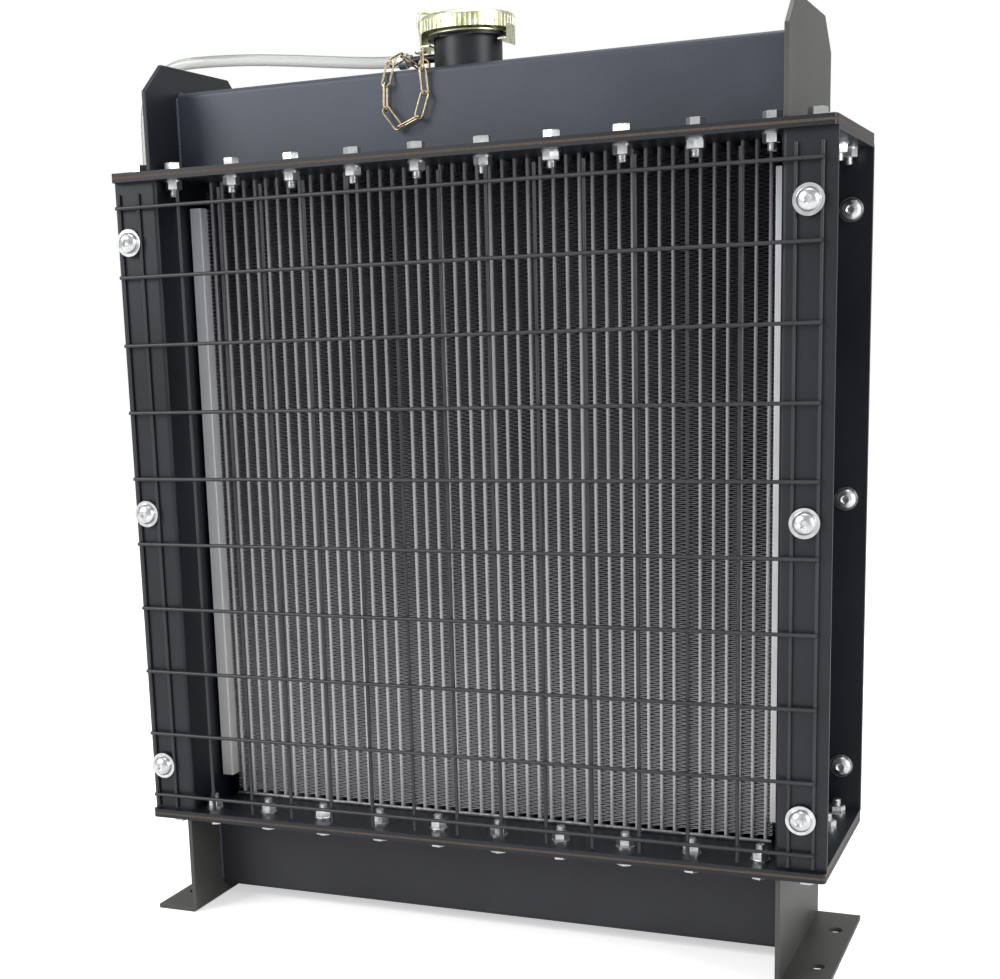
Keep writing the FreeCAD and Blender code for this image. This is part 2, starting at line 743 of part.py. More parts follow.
def filler_neck():
    """The neck, with two notches in its rim where the cap's hooks come off."""
    inner = neck_radius - neck_wall
    seat_z = tank_top_z + neck_seat_height
    profile = [(inner, neck_low_z), (neck_radius, neck_low_z), (neck_radius, neck_rim_z - neck_rim_sheet),
               (neck_rim_radius, neck_rim_z - neck_rim_sheet), (neck_rim_radius, neck_rim_z),
               (inner, neck_rim_z), (inner, seat_z), (neck_seat_radius, seat_z),
               (neck_seat_radius, seat_z - neck_wall), (inner, seat_z - neck_wall)]
    neck = revolve_profile(profile, neck_axis)
    notches = []
    for side in (-1, 1):
        near = mid_y + side * (neck_radius + cap_running_gap)
        far = mid_y + side * (neck_rim_radius + 1)
        notches.append(box(neck_x - rim_notch_half_width, neck_x + rim_notch_half_width,
                           min(near, far), max(near, far), neck_rim_z - neck_rim_sheet, neck_rim_z))
    nipple_hole = rod(neck_x - neck_radius, mid_y, nipple_z, nipple_radius, 2 * neck_wall, Vector(1, 0, 0))
    return neck.cut(notches + [nipple_hole])


nipple_z = tank_top_z + nipple_height
save("filler_neck", filler_neck())
nipple_start = neck_x - neck_radius + neck_wall
nipple_end = neck_x - neck_radius - nipple_length
save("overflow_nipple", ring(nipple_start, mid_y, nipple_z, nipple_radius, nipple_bore,
                             nipple_start - nipple_end, Vector(-1, 0, 0)))

# Cap: crowned shell with a milled skirt and two hooked tabs


def cap_shell():
    """The outer cap that is turned by hand."""
    top = cap_top_z
    low = cap_low_z
    dish = top - cap_dish_depth
    t = cap_sheet
    hole = rivet_radius + drain_stem_gap
    profile = [(hole, dish), (cap_dish_radius, dish), (cap_crown_radius, top), (cap_radius - 3 * t, top),
               (cap_radius - t, top - 0.6 * t), (cap_radius, top - 2 * t), (cap_radius, low),
               (cap_radius - t, low), (cap_radius - t, top - 2.2 * t), (cap_crown_radius + 0.6 * t, top - t),
               (cap_dish_radius + 0.6 * t, dish - t), (hole, dish - t)]
    shell = revolve_profile(profile, neck_axis)
    tabs = []
    tab_z = low - cap_tab_drop
    hook_z = neck_rim_z - neck_rim_sheet - cap_rise - seat_gap - t
    for side in (-1, 1):
        x_out = neck_x + side * cap_radius
        x_in = neck_x + side * (cap_radius - t)
        x_hook = neck_x + side * (cap_radius - cap_hook_reach)
        tabs.append(box(min(x_out, x_in), max(x_out, x_in), mid_y - cap_tab_half_width,
                        mid_y + cap_tab_half_width, tab_z, low + 2 * t))
        tabs.append(box(min(x_in, x_hook), max(x_in, x_hook), mid_y - cap_tab_half_width,
                        mid_y + cap_tab_half_width, hook_z, hook_z + t))
    rounder = rod(neck_x, mid_y, tab_z, cap_radius, cap_height + cap_tab_drop)
    tabs = [tab.common(rounder) for tab in tabs]
    grooves = []
    for k in range(cap_knurls):
        angle = 2 * math.pi * k / cap_knurls
        x = neck_x + (cap_radius + 0.55 * knurl_radius) * math.cos(angle)
        y = mid_y + (cap_radius + 0.55 * knurl_radius) * math.sin(angle)
        grooves.append(rod(x, y, low, knurl_radius, cap_height - 2.5 * t))
    return shell.cut(Part.makeCompound(grooves)).fuse(tabs).removeSplitter()


save("cap_shell", cap_shell())

bell_z = neck_rim_z + top_seal_thickness
dish_top = cap_top_z - cap_dish_depth
save("cap_top_seal", ring(neck_x, mid_y, neck_rim_z, bell_radius, neck_radius - neck_wall + 0.5,
                          top_seal_thickness))


def cap_bell():
    """The pressed cup inside the cap, which holds the spring."""
    tube_in = bell_tube_radius - bell_sheet
    profile = [(rivet_radius, bell_z), (tube_in, bell_z), (tube_in, neck_rim_z - bell_tube_drop),
               (bell_tube_radius, neck_rim_z - bell_tube_drop), (bell_tube_radius, bell_z),
               (bell_radius, bell_z), (bell_radius, bell_z + bell_sheet), (rivet_radius, bell_z + bell_sheet)]
    return revolve_profile(profile, neck_axis)


save("cap_bell", cap_bell())


def cap_rivet():
    """The rivet that the cap turns on, and that holds the bell under it."""
    head_z = dish_top + cap_running_gap
    shank = rod(neck_x, mid_y, bell_z - rivet_head_height, rivet_radius, head_z - bell_z + 2 * rivet_head_height)
    head = rod(neck_x, mid_y, head_z, rivet_head_radius, rivet_head_height)
    foot = rod(neck_x, mid_y, bell_z - rivet_head_height, rivet_head_radius, rivet_head_height)
    return shank.fuse([head, foot]).removeSplitter()


save("cap_rivet", cap_rivet())

# Pressure valve on its seat in the neck, and the vacuum valve in its middle

valve_seat_z = tank_top_z + neck_seat_height + seat_gap
plate_z = valve_seat_z + valve_seal_thickness
save("valve_seal", ring(neck_x, mid_y, valve_seat_z, valve_seal_radius, neck_seat_radius - 3, valve_seal_thickness))
save("pressure_valve", ring(neck_x, mid_y, plate_z, valve_plate_radius, valve_hole_radius, valve_plate_sheet))
vacuum_disc_z = plate_z - vacuum_disc_sheet
vacuum_top_z = plate_z + valve_plate_sheet + vacuum_stem_height
vacuum = rod(neck_x, mid_y, vacuum_disc_z, vacuum_disc_radius, vacuum_disc_sheet)
vacuum_stem = rod(neck_x, mid_y, vacuum_disc_z, vacuum_stem_radius, vacuum_top_z - vacuum_disc_z)
vacuum_cap = rod(neck_x, mid_y, vacuum_top_z - vacuum_disc_sheet, vacuum_cap_radius, vacuum_disc_sheet)
save("vacuum_valve", vacuum.fuse([vacuum_stem, vacuum_cap]).removeSplitter())


def coil_spring(radius, wire, low, high, turns):
    """A round wire coil that stands between two levels, bent in short tangent arcs."""
    steps = round(turns * coil_steps)
    rise = (high - low - wire) / steps
    points = []
    for k in range(steps + 1):
        angle = 2 * math.pi * k / coil_steps
        points.append(Vector(neck_x + radius * math.cos(angle), mid_y + radius * math.sin(angle),
                             low + wire / 2 + k * rise))
    return pipe_along(rounded_path(points, radius * coil_arc_share), wire / 2)


spring_low = plate_z + valve_plate_sheet
save("pressure_spring", coil_spring(spring_radius, spring_wire, spring_low, bell_z - seat_gap, spring_turns))
save("vacuum_spring", coil_spring(small_spring_radius, small_spring_wire, spring_low,
                                  vacuum_top_z - vacuum_disc_sheet, small_spring_turns))

# Wire arm from the rivet over the cap, down to an eye for the chain

arm_way = Vector(math.cos(math.radians(arm_angle)), math.sin(math.radians(arm_angle)), 0)


def arm_point(radius, z):
    """A point on the upright plane that the wire arm lies in."""
    return neck_axis + arm_way * radius + Vector(0, 0, z)


arm_over = cap_top_z + arm_clear
arm_out = cap_radius + arm_clear + arm_wire
arm_start_z = dish_top + cap_running_gap + rivet_head_height + arm_foot_sheet / 2
arm_eye_z = cap_low_z - cap_tab_drop - arm_eye_radius
arm_side = Vector(0, 0, 1).cross(arm_way)
arm_eye_middle = arm_point(arm_out, arm_eye_z) + arm_side * arm_eye_radius
arm_points = [arm_point(rivet_radius, arm_start_z), arm_point(cap_dish_radius * 0.55, arm_start_z),
              arm_point(cap_crown_radius * 0.9, arm_over), arm_point(arm_out, arm_over),
              arm_point(arm_out, arm_eye_z - arm_wire)]
arm = pipe_along(rounded_path(arm_points, 3.0), arm_wire)
arm_eye = Part.makeTorus(arm_eye_radius, arm_eye_wire, arm_eye_middle, Vector(0, 0, 1))
arm_foot = rod(neck_x, mid_y, arm_start_z - arm_foot_sheet / 2, rivet_head_radius, arm_foot_sheet)
save("chain_arm", arm.fuse([arm_eye, arm_foot]).removeSplitter())

# Chain: oblong links, every second one turned a quarter, over the edge of the tank and back.
# Each row gives the way a link runs and the way the flat of an unturned link faces.

chain_rows = [((0.20, -0.52, -0.83), (0.77, 0.64, 0.00)), ((0.08, 0.02, -0.99), (0.42, 0.90, 0.00)),
              ((-0.34, 0.00, -0.94), (0.00, 1.00, 0.00)), ((-0.93, 0.00, -0.36), (0.00, 1.00, 0.00)),
              ((-0.60, 0.00, 0.80), (0.00, 1.00, 0.00)), ((0.04, 0.00, 1.00), (0.00, 1.00, 0.00)),
              ((0.12, 0.36, 0.93), (0.00, 1.00, 0.00)), ((0.19, 0.92, 0.36), (0.00, 0.20, -1.00)),
              ((0.55, 0.64, -0.49), (0.00, 0.00, -1.00))]
link_pitch = chain_length - 4 * chain_wire - chain_play


def chain_link(start, stop, face, turned):
    """One oblong link round two places, its flat side turned or not."""
    way = (stop - start).normalize()
    middle = (start + stop) / 2
    wide = way.cross(face).normalize()
    across = wide if turned else way.cross(wide).normalize()
    half_straight = (chain_length - chain_width) / 2
    r = chain_width / 2 - chain_wire
    ends = [middle + way * half_straight, middle - way * half_straight]
    edges = [Part.LineSegment(ends[1] + across * r, ends[0] + across * r).toShape(),
             Part.Arc(ends[0] + across * r, ends[0] + way * r, ends[0] - across * r).toShape(),
             Part.LineSegment(ends[0] - across * r, ends[1] - across * r).toShape(),
             Part.Arc(ends[1] - across * r, ends[1] - way * r, ends[1] + across * r).toShape()]
    return pipe_along(Part.Wire(edges), chain_wire)


links = []
first_way = Vector(*chain_rows[0][0]).normalize()
link_start = arm_eye_middle + arm_side * arm_eye_radius - first_way * (arm_eye_wire + chain_play / 2)
for k, (way_values, face_values) in enumerate(chain_rows):
    link_way = Vector(*way_values).normalize()
    link_stop = link_start + link_way * link_pitch
    links.append(chain_link(link_start, link_stop, Vector(*face_values), k % 2 == 0))
    link_start = link_stop
save("cap_chain", links)

# Staple on the tank top that holds the far end of the chain, one leg through the last link

staple_leg_place = link_start - link_way * (staple_wire + chain_play / 2)
staple_x = staple_leg_place.x + staple_radius
staple_y = staple_leg_place.y
staple_points = [Vector(staple_x - staple_radius, staple_y, tank_top_z),
                 Vector(staple_x - staple_radius, staple_y, tank_top_z + staple_leg),
                 Vector(staple_x, staple_y, tank_top_z + staple_leg + staple_radius),
                 Vector(staple_x + staple_radius, staple_y, tank_top_z + staple_leg),
                 Vector(staple_x + staple_radius, staple_y, tank_top_z)]
staple_path = Part.Wire([Part.LineSegment(staple_points[0], staple_points[1]).toShape(),
                         Part.Arc(staple_points[1], staple_points[2], staple_points[3]).toShape(),
                         Part.LineSegment(staple_points[3], staple_points[4]).toShape()])
save("chain_staple", pipe_along(staple_path, staple_wire))

# Overflow hose: from the nipple over the left end plate, then hanging beside the frame

hose_over_z = top_tank_z + end_plate_height + hose_radius + 0.8
hose_drop_x = -half_flange - hose_radius - 0.8
hose_route = [(nipple_end - seat_gap, mid_y, nipple_z),
              (-84, mid_y - 0.2, nipple_z + 0.2),
              (-121, mid_y - 1.5, nipple_z + 4),
              (-166, mid_y - 4, nipple_z + 9.5),
              (-214, mid_y - 8, nipple_z + 14.5),
              (-256, mid_y - 12, hose_over_z + 0.6),
              (hose_drop_x + 33, mid_y - 14, hose_over_z + 0.3),
              (hose_drop_x + 12, mid_y - 15, hose_over_z - 12),
              (hose_drop_x, mid_y - 16, hose_over_z - 33),
              (hose_drop_x - 0.4, mid_y - 17, hose_over_z - 66),
              (hose_drop_x - 1.5, mid_y - 15, hose_over_z - 118),
              (hose_drop_x - 1.0, mid_y - 11, hose_over_z - 180),
              (hose_drop_x - 2.5, mid_y - 9, hose_over_z - 245),
              (hose_drop_x - 1.0, mid_y - 11, hose_over_z - 310),
              (hose_drop_x - 2.0, mid_y - 10, hose_over_z - 370)]


def hose_path(route):
    """Runs joined by arcs that are each as large as their two runs allow."""
    points = [Vector(*p) for p in route]
    edges = []
    start = points[0]
    radii = []
    for before, corner, after in zip(points, points[1:], points[2:]):
        back = before - corner
        ahead = after - corner
        reach = 0.45 * min(back.Length, ahead.Length)
        back.normalize()
        ahead.normalize()
        half_turn = (math.pi - back.getAngle(ahead)) / 2
        radius = reach / math.tan(half_turn)
        radii.append(round(radius, 1))
        first = corner + back * reach
        last = corner + ahead * reach
        inward = back + ahead
        inward.normalize()
        middle = corner + inward * (radius / math.cos(half_turn) - radius)
        edges.append(Part.LineSegment(start, first).toShape())
        edges.append(Part.Arc(first, middle, last).toShape())
        start = last
    edges.append(Part.LineSegment(start, points[-1]).toShape())
    print("hose arc radii", radii)
    return Part.Wire(edges)


hose_line = hose_path(hose_route)
hose = pipe_along(hose_line, hose_radius)
print("hose length", round(hose_line.Length, 1),
      "volume ratio", round(hose.Volume / (math.pi * hose_radius ** 2 * hose_line.Length), 4))
save("overflow_hose", hose)
save("hose_clip", ring(nipple_end - 4, mid_y, nipple_z, hose_radius + hose_clip_gap + hose_clip_sheet,
                       hose_radius + hose_clip_gap, hose_clip_width, Vector(-1, 0, 0)))
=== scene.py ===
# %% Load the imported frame
import math
import random

import bmesh
import bpy
from mathutils import Matrix, Vector, noise


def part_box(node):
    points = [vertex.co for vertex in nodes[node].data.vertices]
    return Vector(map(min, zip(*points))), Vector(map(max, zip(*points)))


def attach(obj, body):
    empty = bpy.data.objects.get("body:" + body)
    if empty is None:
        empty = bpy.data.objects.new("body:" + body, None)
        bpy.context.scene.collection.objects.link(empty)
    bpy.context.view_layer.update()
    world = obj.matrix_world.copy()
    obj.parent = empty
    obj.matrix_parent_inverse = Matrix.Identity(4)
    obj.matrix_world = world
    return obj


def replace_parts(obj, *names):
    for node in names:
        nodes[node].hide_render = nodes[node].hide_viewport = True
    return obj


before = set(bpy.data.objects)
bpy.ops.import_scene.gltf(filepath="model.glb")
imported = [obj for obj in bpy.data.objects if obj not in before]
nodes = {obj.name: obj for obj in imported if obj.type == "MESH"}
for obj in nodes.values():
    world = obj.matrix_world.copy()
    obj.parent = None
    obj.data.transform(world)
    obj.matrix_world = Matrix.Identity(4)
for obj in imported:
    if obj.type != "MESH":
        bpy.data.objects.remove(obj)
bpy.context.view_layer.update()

MM = 0.001
print("frame loaded:", len(nodes), "nodes")

# %% [markdown]
# The camera comes first. It was worked out from the bolt rows and the guard grid, so its place
# and its three axes are known. A camera looks along its own -Z, with Y up, so the axes
# below are turned into a matrix column by column. The object sits a little off the middle
# of the picture, and the lens shift takes care of that without turning the camera.

# %% Camera
camera_place = Vector((528.2, -1401.6, 545.6)) * MM
camera_right = Vector((0.91130, 0.41006, -0.03719))
camera_ahead = Vector((-0.40883, 0.89042, -0.20005)).normalized()
camera_right = (camera_right - camera_ahead * camera_right.dot(camera_ahead)).normalized()
camera_up = camera_right.cross(camera_ahead)

camera_data = bpy.data.cameras.new("photo_camera")
camera = bpy.data.objects.new("photo_camera", camera_data)
bpy.context.scene.collection.objects.link(camera)
turn = Matrix((camera_right, camera_up, -camera_ahead)).transposed()
camera.matrix_world = Matrix.Translation(camera_place) @ turn.to_4x4()
camera_data.lens = 59.50
camera_data.sensor_width = 36
camera_data.shift_x = 0.1123
camera_data.shift_y = 0.1725
camera_data.clip_start = 0.01
camera_data.clip_end = 100
bpy.context.scene.camera = camera
print("camera at", [round(v, 3) for v in camera.location])

# %% [markdown]
# Small helpers. One turns the hex colours that designers use into the linear values that
# Blender works with. One adds a shader node with its settings and links. One makes an
# object from a finished bmesh, gives it a material and lets it ride on its body.

# %% Helpers for colours, nodes and pieces


def linear(hex_colour):
    """A hex sRGB colour as linear RGBA."""
    values = [int(hex_colour[k:k + 2], 16) / 255 for k in (1, 3, 5)]
    return [v / 12.92 if v <= 0.04045 else ((v + 0.055) / 1.055) ** 2.4 for v in values] + [1.0]


def add(tree, kind, settings=None, **links):
    """Add a node, set its properties and inputs, and link its inputs by name."""
    node = tree.nodes.new("ShaderNode" + kind)
    for key, value in (settings or {}).items():
        if isinstance(key, str) and hasattr(node, key):
            setattr(node, key, value)
        else:
            node.inputs[key].default_value = value
    for name, source in links.items():
        key = int(name[1:]) if name[0] == "i" and name[1:].isdigit() else name.replace("_", " ")
        tree.links.new(source, node.inputs[key])
    return node


def new_material(name):
    """A material with an empty principled shader, and its tree."""
    material = bpy.data.materials.new(name)
    material.use_nodes = True
    tree = material.node_tree
    return material, tree, tree.nodes["Principled BSDF"]


def ramp(tree, source, stops):
    """A colour ramp between hex colours, driven by a value."""
    node = add(tree, "ValToRGB", Fac=source)
    elements = node.color_ramp.elements
    while len(elements) < len(stops):
        elements.new(0.5)
    for element, (place, colour) in zip(elements, stops):
        element.position = place
        element.color = linear(colour)
    return node.outputs["Color"]


def grain(tree, size_mm, detail=2.0, stretch=(1, 1, 1)):
    """Noise whose grains are about size_mm across on the object, and stretched if asked."""
    place = add(tree, "TexCoord").outputs["Object"]
    scaled = add(tree, "Mapping", {"Scale": [s / (size_mm * MM) for s in stretch]}, Vector=place)
    return add(tree, "TexNoise", {"Scale": 1.0, "Detail": detail}, Vector=scaled.outputs[0]).outputs["Fac"]


def bump(tree, shader, height, depth_mm, strength=1.0):
    """Raise the surface by up to depth_mm where the height is 1."""
    node = add(tree, "Bump", {"Strength": strength, "Distance": depth_mm * MM}, Height=height)
    tree.links.new(node.outputs[0], shader.inputs["Normal"])
    return node


def spread(tree, source, low, high):
    """A value from 0 to 1 spread between two limits."""
    return add(tree, "MapRange", {"To Min": low, "To Max": high}, Value=source).outputs[0]


def piece(name, bm, material, body="frame", smooth_degrees=None):
    """An object from a bmesh, with its normals outwards, riding on its body."""
    mesh = bpy.data.meshes.new(name)
    bmesh.ops.remove_doubles(bm, verts=bm.verts, dist=1e-7)
    bmesh.ops.recalc_face_normals(bm, faces=bm.faces)
    bm.to_mesh(mesh)
    bm.free()
    obj = bpy.data.objects.new(name, mesh)
    bpy.context.scene.collection.objects.link(obj)
    mesh.materials.append(material)
    if smooth_degrees is not None:
        mesh.shade_smooth()
        mesh.set_sharp_from_angle(angle=math.radians(smooth_degrees))
    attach(obj, body)
    return obj


# %% [markdown]
# The overflow hose is a length of clear soft PVC tube, 10 mm across. It leaves the
# nipple on the neck, rises over the end plate and hangs beside the frame. A NURBS curve along
# listed points gives it the smooth line that a soft tube takes by itself. The radius sits on
# the points, so that the curve's measured box is as wide as the tube.

# %% Overflow hose route
hose_route = [(-60.1, -22.9, 767.0), (-84.0, -23.1, 767.2), (-121.0, -24.4, 771.0),
              (-166.0, -26.9, 776.5),
              (-214.0, -30.9, 781.5), (-256.0, -34.9, 783.4), (-287.8, -36.9, 783.1), (-308.8, -37.9, 770.8),
              (-320.8, -38.9, 749.8), (-321.2, -39.9, 716.8), (-322.3, -37.9, 664.8), (-321.8, -33.9, 602.8),
              (-323.3, -31.9, 537.8), (-321.8, -33.9, 472.8), (-322.8, -32.9, 412.8)]
HOSE_RADIUS = 5.0
hose_curve = bpy.data.curves.new("overflow_hose_line", "CURVE")
hose_curve.dimensions = "3D"
hose_spline = hose_curve.splines.new("NURBS")
hose_spline.points.add(len(hose_route) - 1)
for point, place in zip(hose_spline.points, hose_route):
    point.co = [value * MM for value in place] + [1.0]
    point.radius = HOSE_RADIUS * MM
hose_spline.order_u = 3
hose_spline.use_endpoint_u = True
hose_spline.resolution_u = 12
hose_curve.bevel_depth = 1.0
hose_curve.bevel_resolution = 6
hose_curve.use_fill_caps = True
hose = bpy.data.objects.new("clear_overflow_hose", hose_curve)
bpy.context.scene.collection.objects.link(hose)
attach(hose, "frame")
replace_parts(hose, "overflow_hose")
print("hose points:", len(hose_route))

# %% [markdown]
# The frame is folded steel under a satin blue-black paint. Sprayed paint is never flat:
# it carries a fine orange peel a few millimetres wide, slow drifts in tone, and dust
# that lightens it a little. A fairly rough gloss gives the broad, low sheen.

# %% Satin frame paint


def satin_paint(name, dark, light, dusty, roughness):
    """Sprayed satin enamel on sheet steel."""
    material, tree, shader = new_material(name)
    drift = grain(tree, 90, 3)
    fine = grain(tree, 4, 3)
    tone = ramp(tree, drift, [(0.3, dark), (0.7, light)])
    speck = ramp(tree, grain(tree, 1.6, 4), [(0.60, "#000000"), (0.78, "#ffffff")])
    amount = add(tree, "Math", {"operation": "MULTIPLY", 1: 0.22}, i0=speck)
    mixed = add(tree, "Mix", {"data_type": "RGBA"}, Factor=amount.outputs[0])
    tree.links.new(tone, mixed.inputs[6])
    mixed.inputs[7].default_value = linear(dusty)
    tree.links.new(mixed.outputs[2], shader.inputs["Base Color"])
    tree.links.new(spread(tree, drift, roughness - 0.06, roughness + 0.08), shader.inputs["Roughness"])
    shader.inputs["Specular IOR Level"].default_value = 0.45
    bump(tree, shader, fine, 0.10, 0.35)
    return material


frame_paint = satin_paint("satin_blue_black_paint", "#0f1218", "#171b23", "#3a3f47", 0.40)
low_tank_paint = satin_paint("satin_charcoal_tank_paint", "#222328", "#2c2d32", "#55565b", 0.46)
tank_paint = satin_paint("satin_slate_tank_paint", "#333944", "#3f4551", "#666c74", 0.46)
# A lighter, olive copy of the black paint: painted light on the right end plate and the feet, as if lit from
# the right.
painted_light_plate_paint = satin_paint("satin_black_paint_painted_light", "#3c3d3a", "#4b4c48", "#70716c", 0.44)
wire_paint = satin_paint("dipped_black_wire_paint", "#26272b", "#303136", "#55565a", 0.40)

# %% [markdown]
# Bright zinc is electroplated on every screw, nut and washer. Fresh zinc is nearly
# white and mirrors softly, with faint cloudy patches from the bath and tiny scratches from the socket.

# %% Bright zinc, yellow zinc and the other metals


def plated_metal(name, colours, roughness, cloud_mm, scratch=0.05):
    """A plated metal with cloudy tone and a softly uneven gloss."""
    material, tree, shader = new_material(name)
    cloud = grain(tree, cloud_mm, 3)
    tree.links.new(ramp(tree, cloud, colours), shader.inputs["Base Color"])
    shader.inputs["Metallic"].default_value = 1.0
    fine = grain(tree, 0.8, 3)
    tree.links.new(spread(tree, fine, roughness - 0.07, roughness + 0.10), shader.inputs["Roughness"])
    bump(tree, shader, fine, scratch, 0.4)
    return material


bright_zinc = plated_metal("bright_zinc_plate", [(0.3, "#c4c6c8"), (0.7, "#e6e7e8")], 0.30, 6)
yellow_zinc = plated_metal("yellow_green_zinc_plate", [(0.25, "#a4ad7c"), (0.45, "#d3d5ac"), (0.62, "#efeedd"),
                                                       (0.8, "#b4be8f")], 0.34, 5)
chain_brass = plated_metal("dulled_chain_brass", [(0.3, "#a3957a"), (0.7, "#d3c6a6")], 0.34, 4)
valve_brass = plated_metal("stamped_valve_brass", [(0.3, "#a88747"), (0.7, "#cfae6a")], 0.30, 5)
spring_steel = plated_metal("oiled_spring_steel", [(0.3, "#6f7072"), (0.7, "#9a9b9d")], 0.32, 3)
tinned_solder = plated_metal("tinned_solder", [(0.3, "#5f5f62"), (0.7, "#8e8e91")], 0.45, 5, 0.12)

# %% [markdown]
# The core is made of thin strip. The tubes are dull tinned metal, the fins are bare sheet
# and the two side plates are plain galvanised sheet. All three are painted darker towards the top and lighter
# towards the bottom: painted shade under the top flange and painted light from the floor, a slow change with
# height, worked out from the real heights.

# %% Tube, fin and side plate metals
CORE_LOW, CORE_HIGH = 101.0, 677.0


def height_share(tree, low_mm, high_mm):
    """0 at the low level and 1 at the high one."""
    place = add(tree, "SeparateXYZ", Vector=add(tree, "TexCoord").outputs["Object"])
    return add(tree, "MapRange", {"From Min": low_mm * MM, "From Max": high_mm * MM},
               Value=place.outputs["Z"]).outputs[0]


def core_metal_painted_shade(name, stops, metallic, roughness, speck_mm):
    """Thin core strip, with painted shade towards the top and painted light towards the bottom."""
    material, tree, shader = new_material(name)
    height = height_share(tree, CORE_LOW, CORE_HIGH)
    patch = grain(tree, 60, 3, (1, 1, 0.35))
    wobble = add(tree, "Math", {"operation": "MULTIPLY_ADD", 1: 0.5, 2: -0.25}, i0=patch)
    painted_shade_level = add(tree, "Math", {"operation": "ADD"}, i0=height, i1=wobble.outputs[0])
    # Painted shade and light: the ramp darkens the core towards the top and lightens it towards the bottom.
    tree.links.new(ramp(tree, painted_shade_level.outputs[0], stops), shader.inputs["Base Color"])
    shader.inputs["Metallic"].default_value = metallic
    fine = grain(tree, speck_mm, 3)
    tree.links.new(spread(tree, fine, roughness - 0.06, roughness + 0.10), shader.inputs["Roughness"])
    bump(tree, shader, fine, 0.06, 0.4)
    return material


# Fin stops: painted light at the bottom, painted shade at the top.
fin_metal = core_metal_painted_shade("thin_fin_strip", [(0.0, "#c6c6c9"), (0.5, "#98979b"), (0.95, "#4d4b51")],
                       0.10, 0.50, 1.5)
tube_metal = core_metal_painted_shade("tinned_tube", [(0.0, "#c2c2c4"), (0.5, "#a5a5a9"), (1.0, "#7a797f")], 0.30, 0.42, 2.0)
side_metal = core_metal_painted_shade("galvanised_side_sheet", [(0.0, "#d2d2cf"), (0.5, "#cfd0d2"), (1.0, "#c2c4ca")],
                        0.25, 0.45, 2.5)

# %% [markdown]
# Rubber seals, the fibre gasket and the clear hose are the soft materials. The hose
# is pale and milky, and its edges are painted greyer: painted shade where the surface turns away from the view,
# standing for the thicker wall seen from the side. Layer
# Weight gives that, because it follows how the surface turns away.

# %% Rubber, gasket fibre and clear tube


def soft_sheet(name, dark, light, roughness, size_mm):
    """Matt rubber or fibre sheet."""
    material, tree, shader = new_material(name)
    fine = grain(tree, size_mm, 4)
    tree.links.new(ramp(tree, fine, [(0.3, dark), (0.7, light)]), shader.inputs["Base Color"])
    shader.inputs["Roughness"].default_value = roughness
    bump(tree, shader, fine, 0.15, 0.5)
    return material


seal_rubber = soft_sheet("moulded_black_rubber", "#0f0f10", "#1b1b1c", 0.62, 1.0)
gasket_fibre = soft_sheet("brown_gasket_fibre", "#3a3028", "#5a4c3f", 0.85, 0.8)

clear_tube, tube_tree, tube_shader = new_material("clear_pvc_tube")
# Painted shade: the base colour greys towards the edges of the tube as seen from the view.
edge = add(tube_tree, "LayerWeight", {"Blend": 0.5}).outputs["Facing"]
tube_tree.links.new(ramp(tube_tree, edge, [(0.0, "#eceeea"), (0.45, "#cfd1cd"), (0.8, "#7c7f82")]),
                    tube_shader.inputs["Base Color"])
tube_shader.inputs["Roughness"].default_value = 0.18
tube_shader.inputs["IOR"].default_value = 1.53
tube_shader.inputs["Transmission Weight"].default_value = 0.6
hose_curve.materials.append(clear_tube)

# %% [markdown]
# The CAD nodes whose shape is already right keep it and only get a material. The table below is
# the paint plan: which finish goes on which part.

# %% Finishes for the CAD nodes
finishes = {
    "top_header_plate": frame_paint, "bottom_header_plate": frame_paint,
    "top_gasket": gasket_fibre, "bottom_gasket": gasket_fibre,
    "filler_neck": frame_paint, "overflow_nipple": frame_paint,
    "core_tubes": tube_metal,
    "top_flange_washers": bright_zinc, "bottom_flange_washers": bright_zinc,
    "guard_washers": bright_zinc, "shroud_washers": bright_zinc,
    "guard_level_wires": wire_paint, "guard_upright_wires": wire_paint,
    "cap_shell": yellow_zinc, "cap_bell": yellow_zinc, "cap_rivet": yellow_zinc, "chain_arm": yellow_zinc,
    "pressure_valve": valve_brass, "vacuum_valve": valve_brass,
    "pressure_spring": spring_steel, "vacuum_spring": spring_steel,
    "cap_top_seal": seal_rubber, "valve_seal": seal_rubber,
    "cap_chain": chain_brass, "chain_staple": chain_brass,
    "drain_cock_body": valve_brass, "drain_cock_key": valve_brass, "hose_clip": bright_zinc,
}
for node_name, material in finishes.items():
    mesh = nodes[node_name].data
    mesh.materials.clear()
    mesh.materials.append(material)
print("finishes set on", len(finishes), "nodes")

# %% [markdown]
# Folded steel never has a knife edge: the press and the paint round it off. These plates keep their
# CAD shape, but a copy of each is merged and gets a Bevel modifier, so that every edge catches
# a thin line of light.

# %% Painted plates with softened edges


def softened(node_name, material, width_mm, body="frame"):
    """A copy of a CAD node with its edges rounded, standing for that node."""
    bm = bmesh.new()
    bm.from_mesh(nodes[node_name].data)
    bmesh.ops.remove_doubles(bm, verts=bm.verts, dist=1e-6)
    bmesh.ops.dissolve_limit(bm, angle_limit=math.radians(0.5), verts=bm.verts, edges=bm.edges)
    obj = piece(node_name + "_plate", bm, material, body, 35)
    edges = obj.modifiers.new("edge", "BEVEL")
    edges.width = width_mm * MM
    edges.segments = 2
    edges.limit_method = "ANGLE"
    edges.angle_limit = math.radians(40)
    edges.harden_normals = True
    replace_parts(obj, node_name)
    return obj


